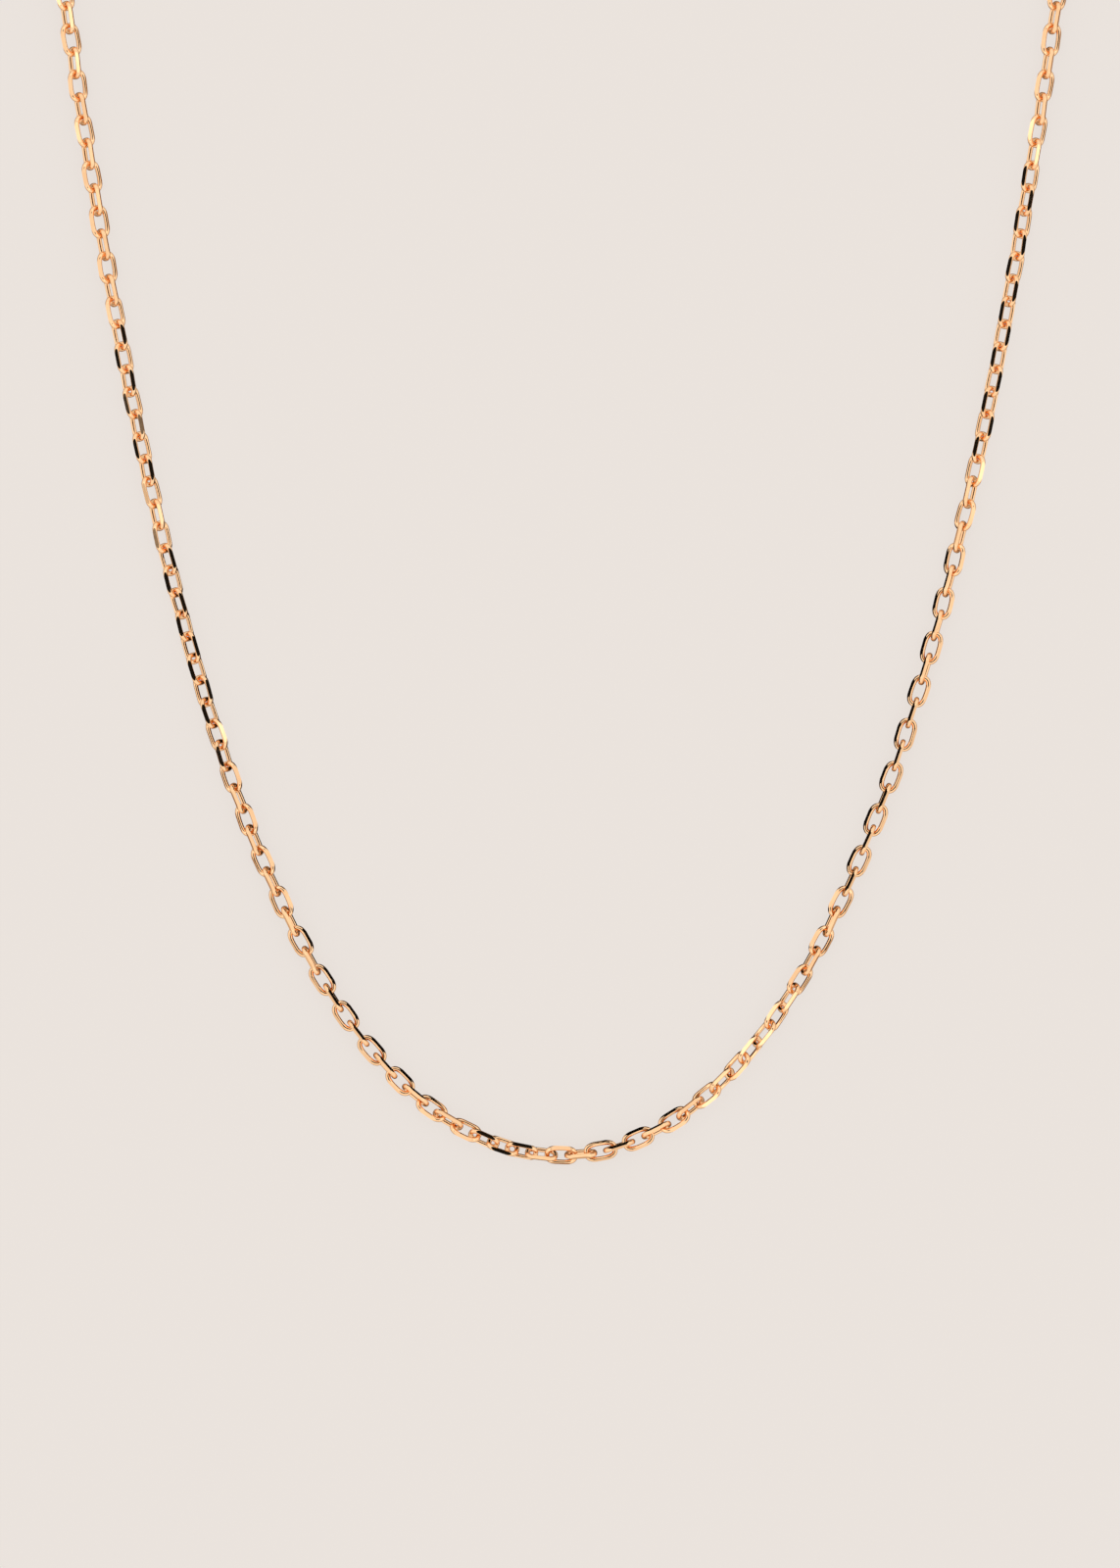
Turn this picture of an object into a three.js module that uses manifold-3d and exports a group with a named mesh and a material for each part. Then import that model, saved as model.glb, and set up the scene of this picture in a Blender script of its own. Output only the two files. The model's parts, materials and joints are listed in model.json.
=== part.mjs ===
// Cable chain necklace with diamond-cut links and a lobster clasp, unclasped and laid flat in a
// catenary U. Millimetres and degrees, +Z up. The chain rests on the plane z = 0.
import * as THREE from "three";
import { mergeVertices } from "three/addons/utils/BufferGeometryUtils.js";
import Module from "manifold-3d";

const wasm = await Module();
wasm.setup();

// Chain links
const WIRE = 0.4; // wire diameter
const LINK_WIDTH = 1.86; // over the cut sides
const CUT_SIDE = 0.185; // wire centre to the outer ridge between two cut facets
const PITCH_TAUT = 2.148; // link to link where the chain is pulled straight
const PITCH_SLACK = 0.318; // how much shorter the pitch is at the bottom of the U
const SLACK_REACH = 23.3; // arc length over which the slack fades
const CATENARY = 17.26; // catenary parameter of the U
const LINKS_PER_SEGMENT = 4;
const CENTRE_LINKS = 5;
const SEGMENTS_PER_ARM = 25;
const BEARING_OVERLAP = 0.048; // how deep two links of one segment bear into each other
const JUNCTION_GAP = 0.08; // play between two segments
const LINK_CORNERS = 8;
const WIRE_CORNERS = 4;

// Roll of the odd links about the chain, against arc length from the bottom of the U. The even
// links are turned a quarter further.
const TWIST = [
  [-216, 15], [-170, 45], [-121, 62], [-104, 65], [-96, 62], [-87, 51], [-79, 54], [-62, 44],
  [-52, 31], [-36, 13], [-20, -5], [-12, -21], [-5, -41], [0, -62], [4, -85], [10, -103],
  [18, -128], [25, -141], [33, -160], [42, -175], [57, -184], [66, -193], [83, -222],
  [100, -230], [118, -245], [170, -236], [216, -220],
];

// Rings
const END_RING = { outer: 4.2, wire: 0.6, roll: 15, shift: 0, play: 0.1, segments: 20 };
const CLASP_RING = { outer: 2.8, wire: 0.5, roll: -60, shift: -0.29, play: 0.25, segments: 16 };
const RING_CORNERS = 8;

// Lobster clasp, in its own frame: x from the tail hole to the nose, y towards the lever
const CLASP_STEP = 1.45; // ring centre to tail hole centre
const CLASP_THICK = 2.3;
const CLAW = { nose: 10.2, half: 2.6, neck: 0.8 };
// The claw's outline from its neck, under the mouth, round the nose and back: cubic curves
const CLAW_START = [1, -CLAW.neck];
const CLAW_CURVES = [
  [2.6, -1.3, 4, -CLAW.half, 6.6, -CLAW.half],
  [8.8, -CLAW.half, CLAW.nose, -1.5, CLAW.nose, 0],
  [CLAW.nose, 1.5, 9, 2.4, 7.4, 2.4],
  [5.2, 2.4, 3, 1.6, 1, CLAW.neck],
];
const TAIL = { outer: 1.4, hole: 0.9, thick: 0.7 };
const OPENING = { x: 7.25, y: -0.2, rx: 1.9, ry: 1.5 };
const PIN = { x: 4.3, y: 0.75, radius: 0.34, gap: 0.04 };
// The lever's tip is an arc about the pin, and its thumb tab stands out of the slot
const LEVER = { tip: 3.86, low: 0.1, high: 0.36, thick: 1.1 };
const LEVER_FOOT = [5, 0.3];
const LEVER_BELLY = [6.6, 0.75, 8.1, 1.1];
const LEVER_BACK = [6.6, 2.3, 5.2, 2, 4.1, 1.85];
const LEVER_TAB = [[3.65, 2.9], [2.95, 2.75], [3.3, 0.8]];
const LEVER_HEEL = [3.6, -0.05, 4.3, -0.05];
const LEVER_GAP = 0.09; // play between the lever's tip and the claw
const SLOT = { low: 2.4, high: 5.6, floor: -0.5, thick: 1.2 };
const GATE_START = 5.4; // the cut for the lever's tip begins here, inside the slot
const SPRING = { x: 4.8, base: -0.98, length: 0.96, radius: 0.24, wire: 0.11, turns: 3 };
const SPRING_POCKET = { wide: 0.72, floor: -1.04 }; // a square pocket that holds the spring
const WELD = 1e-4; // corners closer than this are one
const BEYOND = 1; // how far a cutting shape reaches past what it cuts
const ROUND = 16; // sides of a disc
const CURVE_SIDES = 5; // straight pieces to a curve of an outline
const SPRING_STEPS = 10; // per turn
const SPRING_CORNERS = 3; // per quarter of the wire

const GOLD = { color: 0xe3a35f, roughness: 0.16, metalness: 1 };
const STEEL = { color: 0xb9bcc0, roughness: 0.3, metalness: 1 };

const rad = THREE.MathUtils.degToRad;
const group = new THREE.Group();

function add(name, geometry, finish = GOLD) {
  const mesh = new THREE.Mesh(geometry, new THREE.MeshStandardMaterial(finish));
  mesh.name = name;
  group.add(mesh);
  return mesh;
}

// ---- Booleans ----

function solid(geometry) {
  const plain = geometry.index ? geometry.toNonIndexed() : geometry.clone();
  plain.deleteAttribute("normal");
  plain.deleteAttribute("uv");
  const merged = mergeVertices(plain, WELD);
  return new wasm.Manifold(new wasm.Mesh({
    numProp: 3,
    vertProperties: new Float32Array(merged.attributes.position.array),
    triVerts: new Uint32Array(merged.index.array),
  }));
}

function geometryOf(manifold) {
  const mesh = manifold.getMesh();
  const geometry = new THREE.BufferGeometry();
  geometry.setAttribute("position", new THREE.BufferAttribute(mesh.vertProperties, 3));
  geometry.setIndex(new THREE.BufferAttribute(mesh.triVerts, 1));
  geometry.computeVertexNormals();
  return geometry;
}

// ---- The line of the chain ----

function lineAt(s) {
  const reach = Math.hypot(CATENARY, s);
  return {
    point: new THREE.Vector3(CATENARY * Math.asinh(s / CATENARY), reach - CATENARY, 0),
    along: new THREE.Vector3(CATENARY / reach, s / reach, 0),
    inward: new THREE.Vector3(-s / reach, CATENARY / reach, 0),
  };
}

function pitchAt(s) {
  return PITCH_TAUT - PITCH_SLACK / (1 + (s / SLACK_REACH) ** 2);
}

function stepFrom(s, way) {
  const middle = s + way * pitchAt(s) / 2;
  return s + way * pitchAt(middle);
}

// Smooth curve through the twist points: cubic Hermite with the slopes of the neighbours.
function twistAt(s) {
  const last = TWIST.length - 1;
  const clamped = THREE.MathUtils.clamp(s, TWIST[0][0], TWIST[last][0]);
  let k = 0;
  while (k < last - 1 && TWIST[k + 1][0] < clamped) k += 1;
  const slope = (i) => {
    const low = TWIST[Math.max(i - 1, 0)];
    const high = TWIST[Math.min(i + 1, last)];
    return (high[1] - low[1]) / (high[0] - low[0]);
  };
  const span = TWIST[k + 1][0] - TWIST[k][0];
  const t = (clamped - TWIST[k][0]) / span;
  return TWIST[k][1] * (1 + 2 * t) * (1 - t) ** 2 + slope(k) * span * t * (1 - t) ** 2
    + TWIST[k + 1][1] * t * t * (3 - 2 * t) - slope(k + 1) * span * t * t * (1 - t);
}

// ---- Links ----

// Turns a shape made with x along the chain and y across the link into its place.
function placed(geometry, s, roll, height, shift = 0) {
  const { point, along, inward } = lineAt(s);
  const up = new THREE.Vector3(0, 0, 1);
  const across = inward.clone().multiplyScalar(Math.cos(rad(roll)));
  across.addScaledVector(up, Math.sin(rad(roll)));
  const normal = along.clone().cross(across);
  const place = new THREE.Matrix4().makeBasis(along, across, normal);
  const centre = point.clone().addScaledVector(inward, shift).addScaledVector(up, height);
  return geometry.applyMatrix4(place.setPosition(centre));
}

// A ring of square wire pulled apart into an oval: back and front are the distances from its
// middle to the wire centre at each end. The wire stands on its edge, so that its two outer faces
// are the diamond-cut facets of the side.
const SIDE = LINK_WIDTH / 2 - CUT_SIDE;
const FLAT = Math.cos(Math.PI / LINK_CORNERS);

function oval(back, front) {
  const ring = new THREE.TorusGeometry(SIDE / FLAT, WIRE / 2, WIRE_CORNERS, LINK_CORNERS);
  ring.rotateZ(Math.PI / LINK_CORNERS);
  const position = ring.attributes.position;
  for (let i = 0; i < position.count; i += 1) {
    const x = position.getX(i);
    position.setX(i, x > 0 ? x + front - SIDE : x - back + SIDE);
  }
  return ring;
}

function rollOf(link) {
  return twistAt(link.s) + (link.index % 2 === 0 ? 90 : 0);
}

// Height of the line where the steeper links stand on the table.
function restHeight(s) {
  const turn = rad(twistAt(s));
  const steep = Math.max(Math.abs(Math.sin(turn)), Math.abs(Math.cos(turn)));
  const flat = Math.min(Math.abs(Math.sin(turn)), Math.abs(Math.cos(turn)));
  return Math.max((SIDE + CUT_SIDE) * steep, SIDE * steep + WIRE / 2 * flat);
}

const half = (CENTRE_LINKS - 1) / 2 + LINKS_PER_SEGMENT * SEGMENTS_PER_ARM;
const links = new Map([[0, { index: 0, s: 0 }]]);
for (const way of [-1, 1]) {
  for (let k = 1; k <= half; k += 1) {
    links.set(way * k, { index: way * k, s: stepFrom(links.get(way * (k - 1)).s, way) });
  }
}

// Half length of a link towards its neighbour, so that the two bear or keep their play.
function reachOf(link, way, joined) {
  const wires = 2 * CUT_SIDE + (joined ? -BEARING_OVERLAP : JUNCTION_GAP);
  return (pitchAt(link.s + way * pitchAt(link.s) / 2) + wires) / 2;
}

function segment(name, first, count) {
  let whole = null;
  for (let index = first; index < first + count; index += 1) {
    const link = links.get(index);
    const back = reachOf(link, -1, index > first);
    const front = reachOf(link, 1, index < first + count - 1);
    const piece = solid(placed(oval(back, front), link.s, rollOf(link), restHeight(link.s)));
    whole = whole ? whole.add(piece) : piece;
  }
  add(name, geometryOf(whole));
}

segment("chain_centre", -(CENTRE_LINKS - 1) / 2, CENTRE_LINKS);
for (let k = 1; k <= SEGMENTS_PER_ARM; k += 1) {
  const start = (CENTRE_LINKS - 1) / 2 + 1 + (k - 1) * LINKS_PER_SEGMENT;
  const number = String(k).padStart(2, "0");
  segment(`chain_left_${number}`, -start - LINKS_PER_SEGMENT + 1, LINKS_PER_SEGMENT);
  segment(`chain_right_${number}`, start, LINKS_PER_SEGMENT);
}

// ---- Rings ----

function ringRadius(ring) {
  return (ring.outer - ring.wire) / 2;
}

function ringHeight(ring) {
  return ringRadius(ring) * Math.abs(Math.sin(rad(ring.roll))) + ring.wire / 2;
}

// Distance between the last link's centre and the ring's centre along the chain.
function ringStep(ring, link) {
  const rise = (ringHeight(ring) - restHeight(link.s)) / Math.sin(rad(Math.abs(ring.roll)));
  const cover = Math.sqrt(Math.max(ringRadius(ring) ** 2 - Math.min(rise, ringRadius(ring)) ** 2, 0));
  return reachOf(link, 1, false) + cover - (CUT_SIDE + ring.wire / 2 + ring.play);
}

function ringAt(name, ring, link, way) {
  const shape = new THREE.TorusGeometry(ringRadius(ring), ring.wire / 2, RING_CORNERS, ring.segments);
  const s = link.s + way * ringStep(ring, link);
  add(name, placed(shape, s, ring.roll, ringHeight(ring), ring.shift));
  return s;
}

ringAt("end_ring", END_RING, links.get(-half), -1);
const ringS = ringAt("clasp_ring", CLASP_RING, links.get(half), 1);

// ---- Lobster clasp ----

const claspS = ringS + CLASP_STEP;

function extruded(shape, thick, curveSegments = CURVE_SIDES) {
  const plate = new THREE.ExtrudeGeometry(shape, { depth: thick, bevelEnabled: false, curveSegments });
  return plate.translate(0, 0, (CLASP_THICK - thick) / 2);
}

function disc(x, y, radius, thick) {
  const shape = new THREE.Shape();
  shape.absarc(x, y, radius, 0, 2 * Math.PI);
  return extruded(shape, thick, ROUND);
}

function block(x0, x1, y0, y1, thick) {
  const shape = new THREE.Shape();
  shape.moveTo(x0, y0).lineTo(x1, y0).lineTo(x1, y1).lineTo(x0, y1).closePath();
  return extruded(shape, thick);
}

function clawOutline() {
  const shape = new THREE.Shape();
  shape.moveTo(...CLAW_START);
  CLAW_CURVES.forEach((curve) => shape.bezierCurveTo(...curve));
  return shape;
}

function claspBody() {
  const through = CLASP_THICK + BEYOND;
  const opening = new THREE.Shape();
  opening.absellipse(OPENING.x, OPENING.y, OPENING.rx, OPENING.ry, 0, 2 * Math.PI);
  const sweep = solid(disc(PIN.x, PIN.y, LEVER.tip + LEVER_GAP, through));
  const gate = sweep.intersect(solid(block(GATE_START, CLAW.nose, OPENING.y, CLAW.half, through)));
  return solid(extruded(clawOutline(), CLASP_THICK))
    .add(solid(disc(0, 0, TAIL.outer, TAIL.thick)))
    .subtract(solid(disc(0, 0, TAIL.hole, through)))
    .subtract(solid(extruded(opening, through)))
    .subtract(gate)
    .subtract(solid(block(SLOT.low, SLOT.high, SLOT.floor, CLAW.half + BEYOND, SLOT.thick)))
    .subtract(solid(block(SPRING.x - SPRING_POCKET.wide / 2, SPRING.x + SPRING_POCKET.wide / 2,
      SPRING_POCKET.floor, 0, SPRING_POCKET.wide)))
    .subtract(solid(disc(PIN.x, PIN.y, PIN.radius + PIN.gap, through)));
}

function leverOutline() {
  const shape = new THREE.Shape();
  shape.moveTo(...LEVER_FOOT);
  shape.quadraticCurveTo(...LEVER_BELLY);
  shape.absarc(PIN.x, PIN.y, LEVER.tip, LEVER.low, LEVER.high);
  shape.bezierCurveTo(...LEVER_BACK);
  LEVER_TAB.forEach((corner) => shape.lineTo(...corner));
  shape.quadraticCurveTo(...LEVER_HEEL);
  shape.lineTo(...LEVER_FOOT);
  return shape;
}

function clawPiece(name, manifold, finish) {
  add(name, placed(geometryOf(manifold), claspS, 0, 0, CLASP_RING.shift), finish);
}

const pinHole = solid(disc(PIN.x, PIN.y, PIN.radius + 2 * PIN.gap, CLASP_THICK));
const springLine = new (class extends THREE.Curve {
  getPoint(t, target = new THREE.Vector3()) {
    const turn = 2 * Math.PI * SPRING.turns * t;
    const coil = SPRING.radius - SPRING.wire / 2;
    const rise = SPRING.base + SPRING.wire / 2 + t * (SPRING.length - SPRING.wire);
    return target.set(SPRING.x + coil * Math.cos(turn), rise, CLASP_THICK / 2 + coil * Math.sin(turn));
  }
})();
const springSection = new THREE.Shape();
springSection.absarc(0, 0, SPRING.wire / 2, 0, 2 * Math.PI);

clawPiece("clasp_body", claspBody());
clawPiece("clasp_lever", solid(extruded(leverOutline(), LEVER.thick)).subtract(pinHole));
clawPiece("clasp_pin", solid(disc(PIN.x, PIN.y, PIN.radius, CLASP_THICK)));
clawPiece("clasp_spring", solid(new THREE.ExtrudeGeometry(springSection, {
  steps: SPRING_STEPS * SPRING.turns, curveSegments: SPRING_CORNERS, extrudePath: springLine,
})), STEEL);

// The origin is the middle of the bounding box's underside.
const bounds = new THREE.Box3().setFromObject(group, true);
const middle = bounds.getCenter(new THREE.Vector3());
group.position.set(-middle.x, -middle.y, -bounds.min.z);

export default group;
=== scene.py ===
import json
import math
import random

import bmesh
import bpy
from mathutils import Matrix, Vector


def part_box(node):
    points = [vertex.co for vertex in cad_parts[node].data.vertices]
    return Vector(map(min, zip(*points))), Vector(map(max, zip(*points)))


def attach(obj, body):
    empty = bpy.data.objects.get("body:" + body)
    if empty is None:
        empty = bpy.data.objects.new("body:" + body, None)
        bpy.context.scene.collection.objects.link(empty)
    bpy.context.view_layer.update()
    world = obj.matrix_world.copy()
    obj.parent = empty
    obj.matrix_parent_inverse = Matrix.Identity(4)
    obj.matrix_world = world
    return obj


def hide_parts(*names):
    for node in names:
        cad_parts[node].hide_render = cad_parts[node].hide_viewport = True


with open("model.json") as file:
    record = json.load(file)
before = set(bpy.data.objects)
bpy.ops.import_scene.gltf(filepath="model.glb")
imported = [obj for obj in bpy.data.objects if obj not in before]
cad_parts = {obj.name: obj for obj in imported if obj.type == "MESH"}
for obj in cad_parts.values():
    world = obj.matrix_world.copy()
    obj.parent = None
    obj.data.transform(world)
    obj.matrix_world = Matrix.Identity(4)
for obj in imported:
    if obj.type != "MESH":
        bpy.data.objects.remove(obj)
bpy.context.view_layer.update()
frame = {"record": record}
MM = 0.001
scatter = random.Random(7)

# ---- Driving dimensions, in millimetres and degrees ----

WIRE = 0.46  # wire diameter of a chain link
LINK_WIDTH = 1.86  # over the cut sides
LINK_LENGTH = 3.07
HINGE_PLAY = 0.14  # extra room between two links where one node hinges on the next
OVAL_HALF = 0.72  # from the link's middle line to the wire centre at its side
OVAL_POWER = 2.8  # 2 is an ellipse, more is squarer
ROLL_SCATTER = 5  # how far single links turn out of line
TIP_SCATTER = 2
YAW_SCATTER = 2.5
HEAP_TIP = 14  # where the chain bunches up, its links tip by turns up and down
HEAP_PLACE = 21
HEAP_REACH = 8
PITCH_TAUT = 2.148
PITCH_SLACK = 0.318
SLACK_REACH = 23.3
CATENARY = 17.26
CUT_SIDE = 0.191  # wire centre to the ridge between the two facets of a side
LINKS_PER_SEGMENT = 4
CENTRE_LINKS = 5
SEGMENTS_PER_ARM = 25

# Roll of the odd links about the chain against arc length from the bottom of the U; the even links
# are turned a quarter further.
TWIST = [
    (-216, 15), (-170, 45), (-121, 62), (-104, 65), (-96, 62), (-87, 51), (-79, 54), (-62, 44),
    (-52, 31), (-36, 13), (-20, -5), (-12, -21), (-5, -41), (0, -62), (4, -85), (10, -103),
    (18, -128), (25, -141), (33, -160), (42, -175), (57, -184), (66, -193), (83, -222),
    (100, -230), (118, -245), (170, -236), (216, -220),
]

MOUNTS = {m["name"]: m for m in frame["record"]["mounts"]}
PLACE = Vector(MOUNTS["pendant_place"]["pos_m"])
BOTTOM = Vector((PLACE.x, PLACE.y, 0))


# ---- The line of the chain ----

def line_at(s):
    """Point, direction along the chain and direction into the U, at an arc length in mm."""
    reach = math.hypot(CATENARY, s)
    point = Vector((CATENARY * math.asinh(s / CATENARY), reach - CATENARY, 0))
    along = Vector((CATENARY / reach, s / reach, 0))
    inward = Vector((-s / reach, CATENARY / reach, 0))
    return point, along, inward


def pitch_at(s):
    return PITCH_TAUT - PITCH_SLACK / (1 + (s / SLACK_REACH) ** 2)


def step_from(s, way):
    middle = s + way * pitch_at(s) / 2
    return s + way * pitch_at(middle)


def twist_at(s):
    """Smooth curve through TWIST: cubic Hermite with the slopes of the neighbours."""
    last = len(TWIST) - 1
    s = min(max(s, TWIST[0][0]), TWIST[last][0])
    k = 0
    while k < last - 1 and TWIST[k + 1][0] < s:
        k += 1

    def slope(i):
        low, high = TWIST[max(i - 1, 0)], TWIST[min(i + 1, last)]
        return (high[1] - low[1]) / (high[0] - low[0])

    span = TWIST[k + 1][0] - TWIST[k][0]
    t = (s - TWIST[k][0]) / span
    rise = TWIST[k][1] * (1 + 2 * t) * (1 - t) ** 2 + TWIST[k + 1][1] * t * t * (3 - 2 * t)
    bend = slope(k) * span * t * (1 - t) ** 2 - slope(k + 1) * span * t * t * (1 - t)
    return rise + bend


def rest_height(s):
    turn = math.radians(twist_at(s))
    steep = max(abs(math.sin(turn)), abs(math.cos(turn)))
    flat = min(abs(math.sin(turn)), abs(math.cos(turn)))
    side = LINK_WIDTH / 2 - CUT_SIDE
    return max((side + CUT_SIDE) * steep, side * steep + WIRE / 2 * flat)


HALF = (CENTRE_LINKS - 1) // 2 + LINKS_PER_SEGMENT * SEGMENTS_PER_ARM
LINK_S = {0: 0.0}
for way in (-1, 1):
    for k in range(1, HALF + 1):
        LINK_S[way * k] = step_from(LINK_S[way * (k - 1)], way)


def link_matrix(index):
    s = LINK_S[index]
    roll = math.radians(twist_at(s) + (90 if index % 2 == 0 else 0)
                        + scatter.uniform(-ROLL_SCATTER, ROLL_SCATTER))
    heap = HEAP_TIP * math.exp(-((s - HEAP_PLACE) / HEAP_REACH) ** 2)
    tip = math.radians(scatter.uniform(-TIP_SCATTER, TIP_SCATTER) + (heap if index % 2 else -heap))
    yaw = math.radians(scatter.uniform(-YAW_SCATTER, YAW_SCATTER))
    point, along, inward = line_at(s)
    up = Vector((0, 0, 1))
    across = inward * math.cos(roll) + up * math.sin(roll)
    normal = along.cross(across)
    rise = rest_height(s) + (LINK_LENGTH - LINK_WIDTH) / 2 * abs(math.sin(tip))
    centre = BOTTOM + (point + up * rise) * MM
    turn = Matrix((along, across, normal)).transposed().to_4x4()
    lean = Matrix.Rotation(tip, 4, inward) @ Matrix.Rotation(yaw, 4, up)
    return Matrix.Translation(centre) @ lean @ turn


# ---- Materials ----

def noise(tree, scale, detail=3.0, stretch=(1, 1, 1)):
    coordinates = tree.nodes.new("ShaderNodeTexCoord")
    mapping = tree.nodes.new("ShaderNodeMapping")
    mapping.inputs["Scale"].default_value = stretch
    texture = tree.nodes.new("ShaderNodeTexNoise")
    texture.inputs["Scale"].default_value = scale
    texture.inputs["Detail"].default_value = detail
    tree.links.new(coordinates.outputs["Object"], mapping.inputs["Vector"])
    tree.links.new(mapping.outputs["Vector"], texture.inputs["Vector"])
    return texture.outputs["Fac"]


def ramp(tree, factor, *stops):
    node = tree.nodes.new("ShaderNodeValToRGB")
    while len(node.color_ramp.elements) < len(stops):
        node.color_ramp.elements.new(0.5)
    for element, (place, colour) in zip(node.color_ramp.elements, stops):
        element.position = place
        element.color = (*colour, 1)
    tree.links.new(factor, node.inputs["Fac"])
    return node.outputs["Color"]


TONE_SCALE = 900  # noise scales are per metre
GLOSS_SCALE = 2600
SCRATCH_SCALE = 5200
SCRATCH_STRETCH = (1, 0.35, 1)
SCRATCH_DEPTH = 0.00001


def metal(name, light, dark, smooth, rough, bump):
    material = bpy.data.materials.new(name)
    material.use_nodes = True
    tree = material.node_tree
    shader = tree.nodes["Principled BSDF"]
    shader.inputs["Metallic"].default_value = 1.0
    tone = ramp(tree, noise(tree, TONE_SCALE), (0.35, dark), (0.65, light))
    tree.links.new(tone, shader.inputs["Base Color"])
    gloss = ramp(tree, noise(tree, GLOSS_SCALE), (0.3, (smooth,) * 3), (0.75, (rough,) * 3))
    tree.links.new(gloss, shader.inputs["Roughness"])
    scratches = noise(tree, SCRATCH_SCALE, 4.0, SCRATCH_STRETCH)
    relief = tree.nodes.new("ShaderNodeBump")
    relief.inputs["Strength"].default_value = bump
    relief.inputs["Distance"].default_value = SCRATCH_DEPTH
    tree.links.new(scratches, relief.inputs["Height"])
    tree.links.new(relief.outputs["Normal"], shader.inputs["Normal"])
    return material


chain_gold = metal("chain_gold", (1.0, 0.635, 0.355), (0.97, 0.58, 0.305), 0.03, 0.08, 0.03)
fitting_gold = metal("fitting_gold", (1.0, 0.635, 0.355), (0.96, 0.57, 0.295), 0.2, 0.28, 0.08)
spring_steel = metal("spring_steel", (0.72, 0.73, 0.75), (0.6, 0.61, 0.63), 0.2, 0.35, 0.1)


# ---- Links ----

PATH_STEPS = 80
WIRE_STEPS = 28


def oval_path(half_length, half_width):
    """Centre line of the wire and its outward normal, along a rounded oval."""
    path = []
    for k in range(PATH_STEPS):
        angle = 2 * math.pi * (k + 0.5) / PATH_STEPS
        x, y = math.cos(angle), math.sin(angle)
        x = math.copysign(abs(x) ** (2 / OVAL_POWER), x)
        y = math.copysign(abs(y) ** (2 / OVAL_POWER), y)
        out = Vector((math.copysign(abs(x) ** (OVAL_POWER - 1), x) / half_length,
                      math.copysign(abs(y) ** (OVAL_POWER - 1), y) / half_width, 0))
        path.append((Vector((x * half_length, y * half_width, 0)), out.normalized()))
    return path


def sweep_ring(bm, path, radius, steps):
    """A closed tube of round wire along a closed path."""
    rings = []
    for centre, out in path:
        ring = []
        for k in range(steps):
            angle = 2 * math.pi * k / steps
            offset = out * math.cos(angle) + Vector((0, 0, math.sin(angle)))
            ring.append(bm.verts.new(centre + offset * radius))
        rings.append(ring)
    for ring, following in zip(rings, rings[1:] + rings[:1]):
        for k in range(steps):
            j = (k + 1) % steps
            face = bm.faces.new((ring[k], following[k], following[j], ring[j]))
            face.smooth = True


def cut_facet(bm, point, normal):
    """Planes off what stands beyond the plane, and leaves a flat face with a sharp edge."""
    geometry = bm.verts[:] + bm.edges[:] + bm.faces[:]
    bmesh.ops.bisect_plane(bm, geom=geometry, dist=1e-9, plane_co=point, plane_no=normal,
                           clear_outer=True)
    rim = [e for e in bm.edges if e.is_boundary]
    filled = bmesh.ops.edgeloop_fill(bm, edges=rim)
    for face in filled["faces"]:
        face.smooth = False
        for edge in face.edges:
            edge.smooth = False


def link_mesh():
    bm = bmesh.new()
    sweep_ring(bm, oval_path((LINK_LENGTH - WIRE) / 2, OVAL_HALF), WIRE / 2, WIRE_STEPS)
    for side in (1, -1):
        for face in (1, -1):
            ridge = Vector((0, side * LINK_WIDTH / 2, 0))
            cut_facet(bm, ridge, Vector((0, side, face)).normalized())
    bmesh.ops.triangulate(bm, faces=[f for f in bm.faces if len(f.verts) > 4])
    bmesh.ops.recalc_face_normals(bm, faces=bm.faces)
    bmesh.ops.scale(bm, vec=(MM, MM, MM), verts=bm.verts)
    return bm


def piece(name, bm, material, body, slot, *nodes):
    mesh = bpy.data.meshes.new(name)
    bm.to_mesh(mesh)
    obj = bpy.data.objects.new(name, mesh)
    bpy.context.scene.collection.objects.link(obj)
    mesh.materials.append(material)
    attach(obj, body)
    if nodes:
        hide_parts(*nodes)
    return obj


def segment(name, first, count):
    """The links of one node; the two outer ones reach out a little, for play at the hinges."""
    whole = bmesh.new()
    for index in range(first, first + count):
        part = one_link.copy()
        for way, end in ((-1, first), (1, first + count - 1)):
            if index == end:
                outer = [v for v in part.verts if v.co.x * way > 0]
                bmesh.ops.translate(part, vec=(way * HINGE_PLAY / 2 * MM, 0, 0), verts=outer)
        bmesh.ops.transform(part, matrix=link_matrix(index), verts=part.verts)
        mesh = bpy.data.meshes.new("part")
        part.to_mesh(mesh)
        whole.from_mesh(mesh)
        bpy.data.meshes.remove(mesh)
        part.free()
    piece(name + "_links", whole, chain_gold, name, "chain_gold", name)
    whole.free()


one_link = link_mesh()
segment("chain_centre", -(CENTRE_LINKS - 1) // 2, CENTRE_LINKS)
for k in range(1, SEGMENTS_PER_ARM + 1):
    start = (CENTRE_LINKS - 1) // 2 + 1 + (k - 1) * LINKS_PER_SEGMENT
    segment(f"chain_left_{k:02d}", -start - LINKS_PER_SEGMENT + 1, LINKS_PER_SEGMENT)
    segment(f"chain_right_{k:02d}", start, LINKS_PER_SEGMENT)


# ---- Rings ----

RING_STEPS = 96


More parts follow.
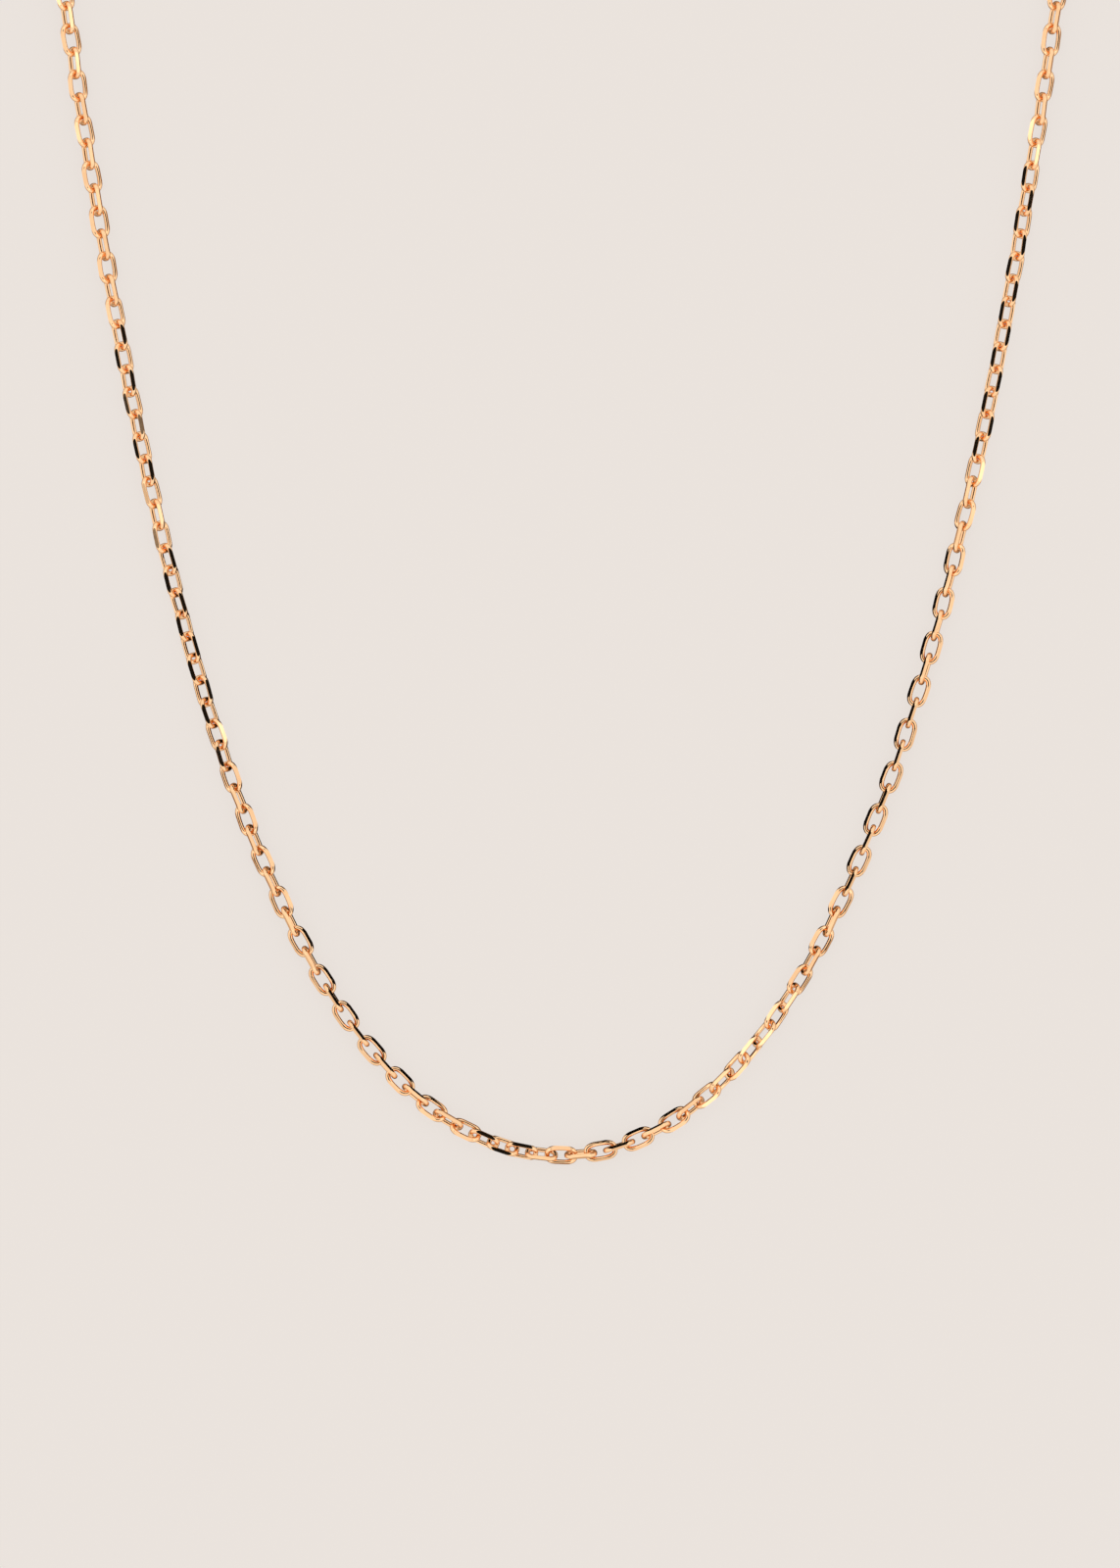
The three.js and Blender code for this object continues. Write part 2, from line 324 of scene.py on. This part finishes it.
def ring(name, outer, wire, roll, arm_end):
    """A round jump ring in the place of its node, turned by its roll about the chain."""
    low, high = (Vector(c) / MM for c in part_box(name))
    centre = (low + high) / 2
    radius = (outer - wire) / 2
    along, inward = line_at(arm_end)[1:]
    across = inward * math.cos(math.radians(roll)) + Vector((0, 0, math.sin(math.radians(roll))))
    bm = bmesh.new()
    path = []
    for k in range(RING_STEPS):
        angle = 2 * math.pi * k / RING_STEPS
        out = Vector((math.cos(angle), math.sin(angle), 0))
        path.append((out * radius, out))
    sweep_ring(bm, path, wire / 2, WIRE_STEPS)
    turn = Matrix((along, across, along.cross(across))).transposed().to_4x4()
    bmesh.ops.transform(bm, matrix=Matrix.Translation(centre) @ turn, verts=bm.verts)
    bmesh.ops.scale(bm, vec=(MM, MM, MM), verts=bm.verts)
    piece(name + "_wire", bm, fitting_gold, name, "fitting_gold", name)
    bm.free()


END_RING = {"outer": 4.2, "wire": 0.48, "roll": 15}
CLASP_RING = {"outer": 2.8, "wire": 0.38, "roll": -60}
ring("end_ring", END_RING["outer"], END_RING["wire"], END_RING["roll"], LINK_S[-HALF])
ring("clasp_ring", CLASP_RING["outer"], CLASP_RING["wire"], CLASP_RING["roll"], LINK_S[HALF])


# ---- Lobster clasp, in its own frame: x from the tail hole to the nose, y towards the lever ----

CLASP_THICK = 2.3
CLAW = {"nose": 10.2, "half": 2.6, "neck": 0.8}
CLAW_START = (1, -CLAW["neck"])
CLAW_CURVES = [
    (2.6, -1.3, 4, -CLAW["half"], 6.6, -CLAW["half"]),
    (8.8, -CLAW["half"], CLAW["nose"], -1.5, CLAW["nose"], 0),
    (CLAW["nose"], 1.5, 9, 2.4, 7.4, 2.4),
    (5.2, 2.4, 3, 1.6, 1, CLAW["neck"]),
]
TAIL = {"outer": 1.4, "hole": 0.9, "thick": 0.7}
OPENING = {"x": 7.25, "y": -0.2, "rx": 1.9, "ry": 1.5}
PIN = {"x": 4.3, "y": 0.75, "radius": 0.34, "gap": 0.04}
LEVER = {"tip": 3.86, "low": 0.1, "high": 0.36, "thick": 1.1}
LEVER_GAP = 0.09
LEVER_FOOT = (5, 0.3)
LEVER_BELLY = (6.6, 0.75, 8.1, 1.1)
LEVER_BACK = (6.6, 2.3, 5.2, 2, 4.1, 1.85)
LEVER_TAB = [(3.65, 2.9), (2.95, 2.75), (3.3, 0.8)]
LEVER_HEEL = (3.6, -0.05, 4.3, -0.05)
SLOT = {"low": 2.4, "high": 5.6, "floor": -0.5, "thick": 1.2}
GATE_START = 5.4
SPRING = {"x": 4.8, "base": -0.98, "length": 0.96, "radius": 0.24, "wire": 0.11, "turns": 3}
SPRING_POCKET = {"wide": 0.72, "floor": -1.04}
BODY_ROUNDING = 0.42
TAIL_ROUNDING = 0.22
LEVER_ROUNDING = 0.16
RIVET_ROUNDING = 0.08
BEYOND = 1  # how far a cutting shape reaches past what it cuts
CURVE_STEPS = 20
TIP_STEPS = 12
ROUND = 64
COIL_STEPS = 48  # per turn
COIL_CORNERS = 12
TAIL_SWING = -0.3  # x of the point that the clasp swings about on its ring

HINGES = {j["name"]: Vector(j["pos_m"]) / MM for j in frame["record"]["behaviour"]["joints"]}


def clasp_frame():
    """From the two hinges of the clasp: where it swings on its ring, and its lever's pin."""
    swing, pin = HINGES["clasp_swing"], HINGES["lever_open"]
    turn = (math.atan2(pin.y - swing.y, pin.x - swing.x)
            - math.atan2(PIN["y"], PIN["x"] - TAIL_SWING))
    spin = Matrix.Rotation(turn, 4, "Z")
    origin = Vector((swing.x, swing.y, 0)) - spin @ Vector((TAIL_SWING, 0, 0))
    return Matrix.Translation(origin) @ spin


def bezier(start, curve):
    """Points along a quadratic or cubic curve after its start."""
    knots = [Vector(start)] + [Vector(curve[i:i + 2]) for i in range(0, len(curve), 2)]
    points = []
    for k in range(1, CURVE_STEPS + 1):
        row = knots
        while len(row) > 1:
            row = [a.lerp(b, k / CURVE_STEPS) for a, b in zip(row, row[1:])]
        points.append(row[0])
    return points


def circle(x, y, rx, ry=None, low=0.0, high=2 * math.pi, steps=ROUND):
    ry = rx if ry is None else ry
    angles = [low + (high - low) * k / steps for k in range(steps)]
    return [Vector((x + rx * math.cos(a), y + ry * math.sin(a))) for a in angles]


def plate(loops, thick, rounding, resolution=4):
    """A flat piece with rounded edges, from its outline and the outlines of its holes."""
    curve = bpy.data.curves.new("plate", "CURVE")
    curve.dimensions = "2D"
    curve.fill_mode = "BOTH"
    curve.extrude = thick / 2 - rounding
    curve.bevel_depth = rounding
    curve.bevel_resolution = resolution
    curve.offset = -rounding
    for loop in loops:
        spline = curve.splines.new("POLY")
        spline.points.add(len(loop) - 1)
        for point, place in zip(spline.points, loop):
            point.co = (place.x, place.y, 0, 1)
        spline.use_cyclic_u = True
    holder = bpy.data.objects.new("plate", curve)
    bpy.context.scene.collection.objects.link(holder)
    bpy.context.view_layer.update()
    mesh = bpy.data.meshes.new_from_object(holder)
    bpy.data.objects.remove(holder)
    bpy.data.curves.remove(curve)
    mesh.transform(Matrix.Translation((0, 0, CLASP_THICK / 2)))
    bm = bmesh.new()
    bm.from_mesh(mesh)
    bpy.data.meshes.remove(mesh)
    bmesh.ops.remove_doubles(bm, verts=bm.verts, dist=1e-4)
    return bm


def box_loop(x0, x1, y0, y1):
    return [Vector(p) for p in ((x0, y0), (x1, y0), (x1, y1), (x0, y1))]


def cut(bm, cutter, operation="DIFFERENCE"):
    """A boolean of two shapes; both are used up."""
    holders = []
    for shape in (bm, cutter):
        mesh = bpy.data.meshes.new("cut")
        shape.to_mesh(mesh)
        shape.free()
        holder = bpy.data.objects.new("cut", mesh)
        bpy.context.scene.collection.objects.link(holder)
        holders.append(holder)
    modifier = holders[0].modifiers.new("cut", "BOOLEAN")
    modifier.operation = operation
    modifier.object = holders[1]
    modifier.solver = "EXACT"
    bpy.context.view_layer.update()
    result = bmesh.new()
    result.from_mesh(bpy.data.meshes.new_from_object(
        holders[0].evaluated_get(bpy.context.evaluated_depsgraph_get())))
    for holder in holders:
        mesh = holder.data
        bpy.data.objects.remove(holder)
        bpy.data.meshes.remove(mesh)
    return result


def soften(bm, angle=35):
    """Smooth shading that keeps the sharp edges."""
    for face in bm.faces:
        face.smooth = True
    for edge in bm.edges:
        edge.smooth = not (len(edge.link_faces) == 2
                           and edge.calc_face_angle(0) > math.radians(angle))


def clasp_piece(name, bm, material, body, slot, node):
    soften(bm)
    bmesh.ops.transform(bm, matrix=clasp_frame(), verts=bm.verts)
    bmesh.ops.scale(bm, vec=(MM, MM, MM), verts=bm.verts)
    piece(name, bm, material, body, slot, node)
    bm.free()


def claw_body():
    outline = [Vector(CLAW_START)]
    for curve in CLAW_CURVES:
        outline += bezier(outline[-1], curve)
    opening = circle(OPENING["x"], OPENING["y"], OPENING["rx"], OPENING["ry"])
    opening.reverse()
    body = plate([outline, opening], CLASP_THICK, BODY_ROUNDING, 5)
    tail = circle(0, 0, TAIL["outer"])
    hole = circle(0, 0, TAIL["hole"])
    hole.reverse()
    body = cut(body, plate([tail, hole], TAIL["thick"], TAIL_ROUNDING), "UNION")
    through = CLASP_THICK + BEYOND
    body = cut(body, plate([circle(0, 0, TAIL["hole"])], through, 0.0, 0))
    reach = LEVER["tip"] + LEVER_GAP
    sweep = plate([circle(PIN["x"], PIN["y"], reach)], through, 0.0, 0)
    gate = box_loop(GATE_START, CLAW["nose"], OPENING["y"], CLAW["half"])
    body = cut(body, cut(sweep, plate([gate], through, 0.0, 0), "INTERSECT"))
    slot = box_loop(SLOT["low"], SLOT["high"], SLOT["floor"], CLAW["half"] + BEYOND)
    body = cut(body, plate([slot], SLOT["thick"], 0.0, 0))
    half = SPRING_POCKET["wide"] / 2
    pocket = box_loop(SPRING["x"] - half, SPRING["x"] + half, SPRING_POCKET["floor"], 0)
    body = cut(body, plate([pocket], SPRING_POCKET["wide"], 0.0, 0))
    pin_hole = circle(PIN["x"], PIN["y"], PIN["radius"] + PIN["gap"])
    return cut(body, plate([pin_hole], through, 0.0, 0))


def lever():
    outline = [Vector(LEVER_FOOT)] + bezier(LEVER_FOOT, LEVER_BELLY)
    outline += circle(PIN["x"], PIN["y"], LEVER["tip"], None, LEVER["low"], LEVER["high"],
                      TIP_STEPS)
    outline.append(Vector((PIN["x"] + LEVER["tip"] * math.cos(LEVER["high"]),
                           PIN["y"] + LEVER["tip"] * math.sin(LEVER["high"]))))
    outline += bezier(outline[-1], LEVER_BACK)
    outline += [Vector(p) for p in LEVER_TAB]
    outline += bezier(outline[-1], LEVER_HEEL)
    body = plate([outline], LEVER["thick"], LEVER_ROUNDING)
    hole = circle(PIN["x"], PIN["y"], PIN["radius"] + 2 * PIN["gap"])
    return cut(body, plate([hole], CLASP_THICK + BEYOND, 0.0, 0))


def spring():
    bm = bmesh.new()
    coil = SPRING["radius"] - SPRING["wire"] / 2
    rings = []
    steps = COIL_STEPS * SPRING["turns"]
    for k in range(steps + 1):
        t = k / steps
        turn = 2 * math.pi * SPRING["turns"] * t
        rise = SPRING["base"] + SPRING["wire"] / 2 + t * (SPRING["length"] - SPRING["wire"])
        centre = Vector((SPRING["x"] + coil * math.cos(turn), rise,
                         CLASP_THICK / 2 + coil * math.sin(turn)))
        out = Vector((math.cos(turn), 0, math.sin(turn)))
        ring_points = []
        for j in range(COIL_CORNERS):
            angle = 2 * math.pi * j / COIL_CORNERS
            offset = out * math.cos(angle) + Vector((0, math.sin(angle), 0))
            ring_points.append(bm.verts.new(centre + offset * SPRING["wire"] / 2))
        rings.append(ring_points)
    for one, two in zip(rings, rings[1:]):
        for j in range(COIL_CORNERS):
            i = (j + 1) % COIL_CORNERS
            bm.faces.new((one[j], two[j], two[i], one[i]))
    bm.faces.new(rings[0])
    bm.faces.new(rings[-1][::-1])
    bmesh.ops.recalc_face_normals(bm, faces=bm.faces)
    return bm


clasp_piece("clasp_claw", claw_body(), fitting_gold, "clasp", "fitting_gold", "clasp_body")
clasp_piece("clasp_trigger", lever(), fitting_gold, "clasp_lever", "fitting_gold", "clasp_lever")
rivet = plate([circle(PIN["x"], PIN["y"], PIN["radius"])], CLASP_THICK, RIVET_ROUNDING)
clasp_piece("clasp_rivet", rivet, fitting_gold, "clasp", "fitting_gold", "clasp_pin")
clasp_piece("clasp_coil", spring(), spring_steel, "clasp", "spring_steel", "clasp_spring")


# ---- Floor, light and camera ----

def square(half):
    return [(-half, -half, 0), (half, -half, 0), (half, half, 0), (-half, half, 0)]


def backdrop(name, corners, faces, material):
    """An object of the studio, which is no part of the necklace."""
    mesh = bpy.data.meshes.new(name)
    mesh.from_pydata(corners, [], faces)
    mesh.materials.append(material)
    obj = bpy.data.objects.new(name, mesh)
    bpy.context.scene.collection.objects.link(obj)
    return obj


def show_in_metal_only(obj):
    obj.visible_camera = False
    obj.visible_diffuse = False
    obj.visible_shadow = False
    obj.visible_transmission = False


FLOOR_SIZE = 3.0
paper = bpy.data.materials.new("paper")
paper.use_nodes = True
paper_tree = paper.node_tree
paper_shader = paper_tree.nodes["Principled BSDF"]
paper_shader.inputs["Base Color"].default_value = (0.1, 0.095, 0.09, 1)
paper_shader.inputs["Roughness"].default_value = 1.0
paper_shader.inputs["Specular IOR Level"].default_value = 0.0
paper_shader.inputs["Emission Color"].default_value = (0.811, 0.753, 0.708, 1)
paper_shader.inputs["Emission Strength"].default_value = 0.9
floor = backdrop("floor", square(FLOOR_SIZE / 2), [(0, 1, 2, 3)], paper)
floor.visible_glossy = False

# A black card inside the U, seen only in the metal: it darkens the facets that face inward.
CARD_Y = (0.018, 0.058)  # from the bottom of the U
CARD_HALF = (0.015, 0.028)  # half width at either end
CARD_Z = (-0.009, 0.005)
corners = []
for z in CARD_Z:
    for y, half_width in zip(CARD_Y, CARD_HALF):
        corners.append((BOTTOM.x - half_width, BOTTOM.y + y, z))
        corners.append((BOTTOM.x + half_width, BOTTOM.y + y, z))
CARD_FACES = [(0, 2, 3, 1), (4, 5, 7, 6), (0, 1, 5, 4), (2, 6, 7, 3), (0, 4, 6, 2), (1, 3, 7, 5)]
black = bpy.data.materials.new("black_card")
black.use_nodes = True
black_shader = black.node_tree.nodes["Principled BSDF"]
black_shader.inputs["Base Color"].default_value = (0.005, 0.005, 0.005, 1)
black_shader.inputs["Specular IOR Level"].default_value = 0.0
card = backdrop("card", corners, CARD_FACES, black)
show_in_metal_only(card)

# A pale card over the clasp, seen only in the metal: it lights the flat top of the clasp.
PALE_HALF = 0.03
PALE_HEIGHT = 0.05
pale = bpy.data.materials.new("pale_card")
pale.use_nodes = True
pale_shader = pale.node_tree.nodes["Principled BSDF"]
pale_shader.inputs["Base Color"].default_value = (0, 0, 0, 1)
pale_shader.inputs["Specular IOR Level"].default_value = 0.0
pale_shader.inputs["Emission Color"].default_value = (1, 1, 1, 1)
pale_shader.inputs["Emission Strength"].default_value = 0.9
pale_card = backdrop("pale_card", square(PALE_HALF), [(0, 1, 2, 3)], pale)
clasp_place = HINGES["lever_open"] * MM
pale_card.location = (clasp_place.x, clasp_place.y, PALE_HEIGHT)
show_in_metal_only(pale_card)

world = bpy.data.worlds.new("studio")
bpy.context.scene.world = world
world.use_nodes = True
tree = world.node_tree
background = tree.nodes["Background"]
coordinates = tree.nodes.new("ShaderNodeTexCoord")
split = tree.nodes.new("ShaderNodeSeparateXYZ")
tree.links.new(coordinates.outputs["Generated"], split.inputs["Vector"])
height = tree.nodes.new("ShaderNodeMapRange")
height.inputs["From Min"].default_value = -1
height.inputs["From Max"].default_value = 1
tree.links.new(split.outputs["Z"], height.inputs["Value"])
tone = ramp(tree, height.outputs["Result"],
            (0.0, (0.15, 0.08, 0.04)), (0.14, (0.34, 0.22, 0.13)), (0.27, (0.75, 0.69, 0.62)),
            (0.5, (0.92, 0.92, 0.92)), (0.75, (1.12, 1.12, 1.12)), (0.9, (1.0, 1.0, 1.0)),
            (0.93, (1.6, 1.6, 1.6)), (0.95, (1.6, 1.6, 1.6)), (0.958, (0.9, 0.9, 0.9)),
            (0.962, (0.01, 0.01, 0.01)))
tree.links.new(tone, background.inputs["Color"])
background.inputs["Strength"].default_value = 1.0

VIEW_HEIGHT = 0.14545  # how much of the table the picture shows, top to bottom
VIEW_CENTRE = (-0.0001, 0.0344)  # from the bottom of the U
CAMERA_HEIGHT = 1.6
SENSOR = 36.0

camera_data = bpy.data.cameras.new("camera")
camera_data.sensor_width = SENSOR
camera_data.sensor_fit = "AUTO"
camera_data.lens = SENSOR * CAMERA_HEIGHT / VIEW_HEIGHT
camera_data.clip_start = 0.01
camera_data.clip_end = 20
camera = bpy.data.objects.new("camera", camera_data)
bpy.context.scene.collection.objects.link(camera)
camera.location = (BOTTOM.x + VIEW_CENTRE[0], BOTTOM.y + VIEW_CENTRE[1], CAMERA_HEIGHT)
bpy.context.scene.camera = camera
bpy.context.scene.view_settings.view_transform = "Standard"
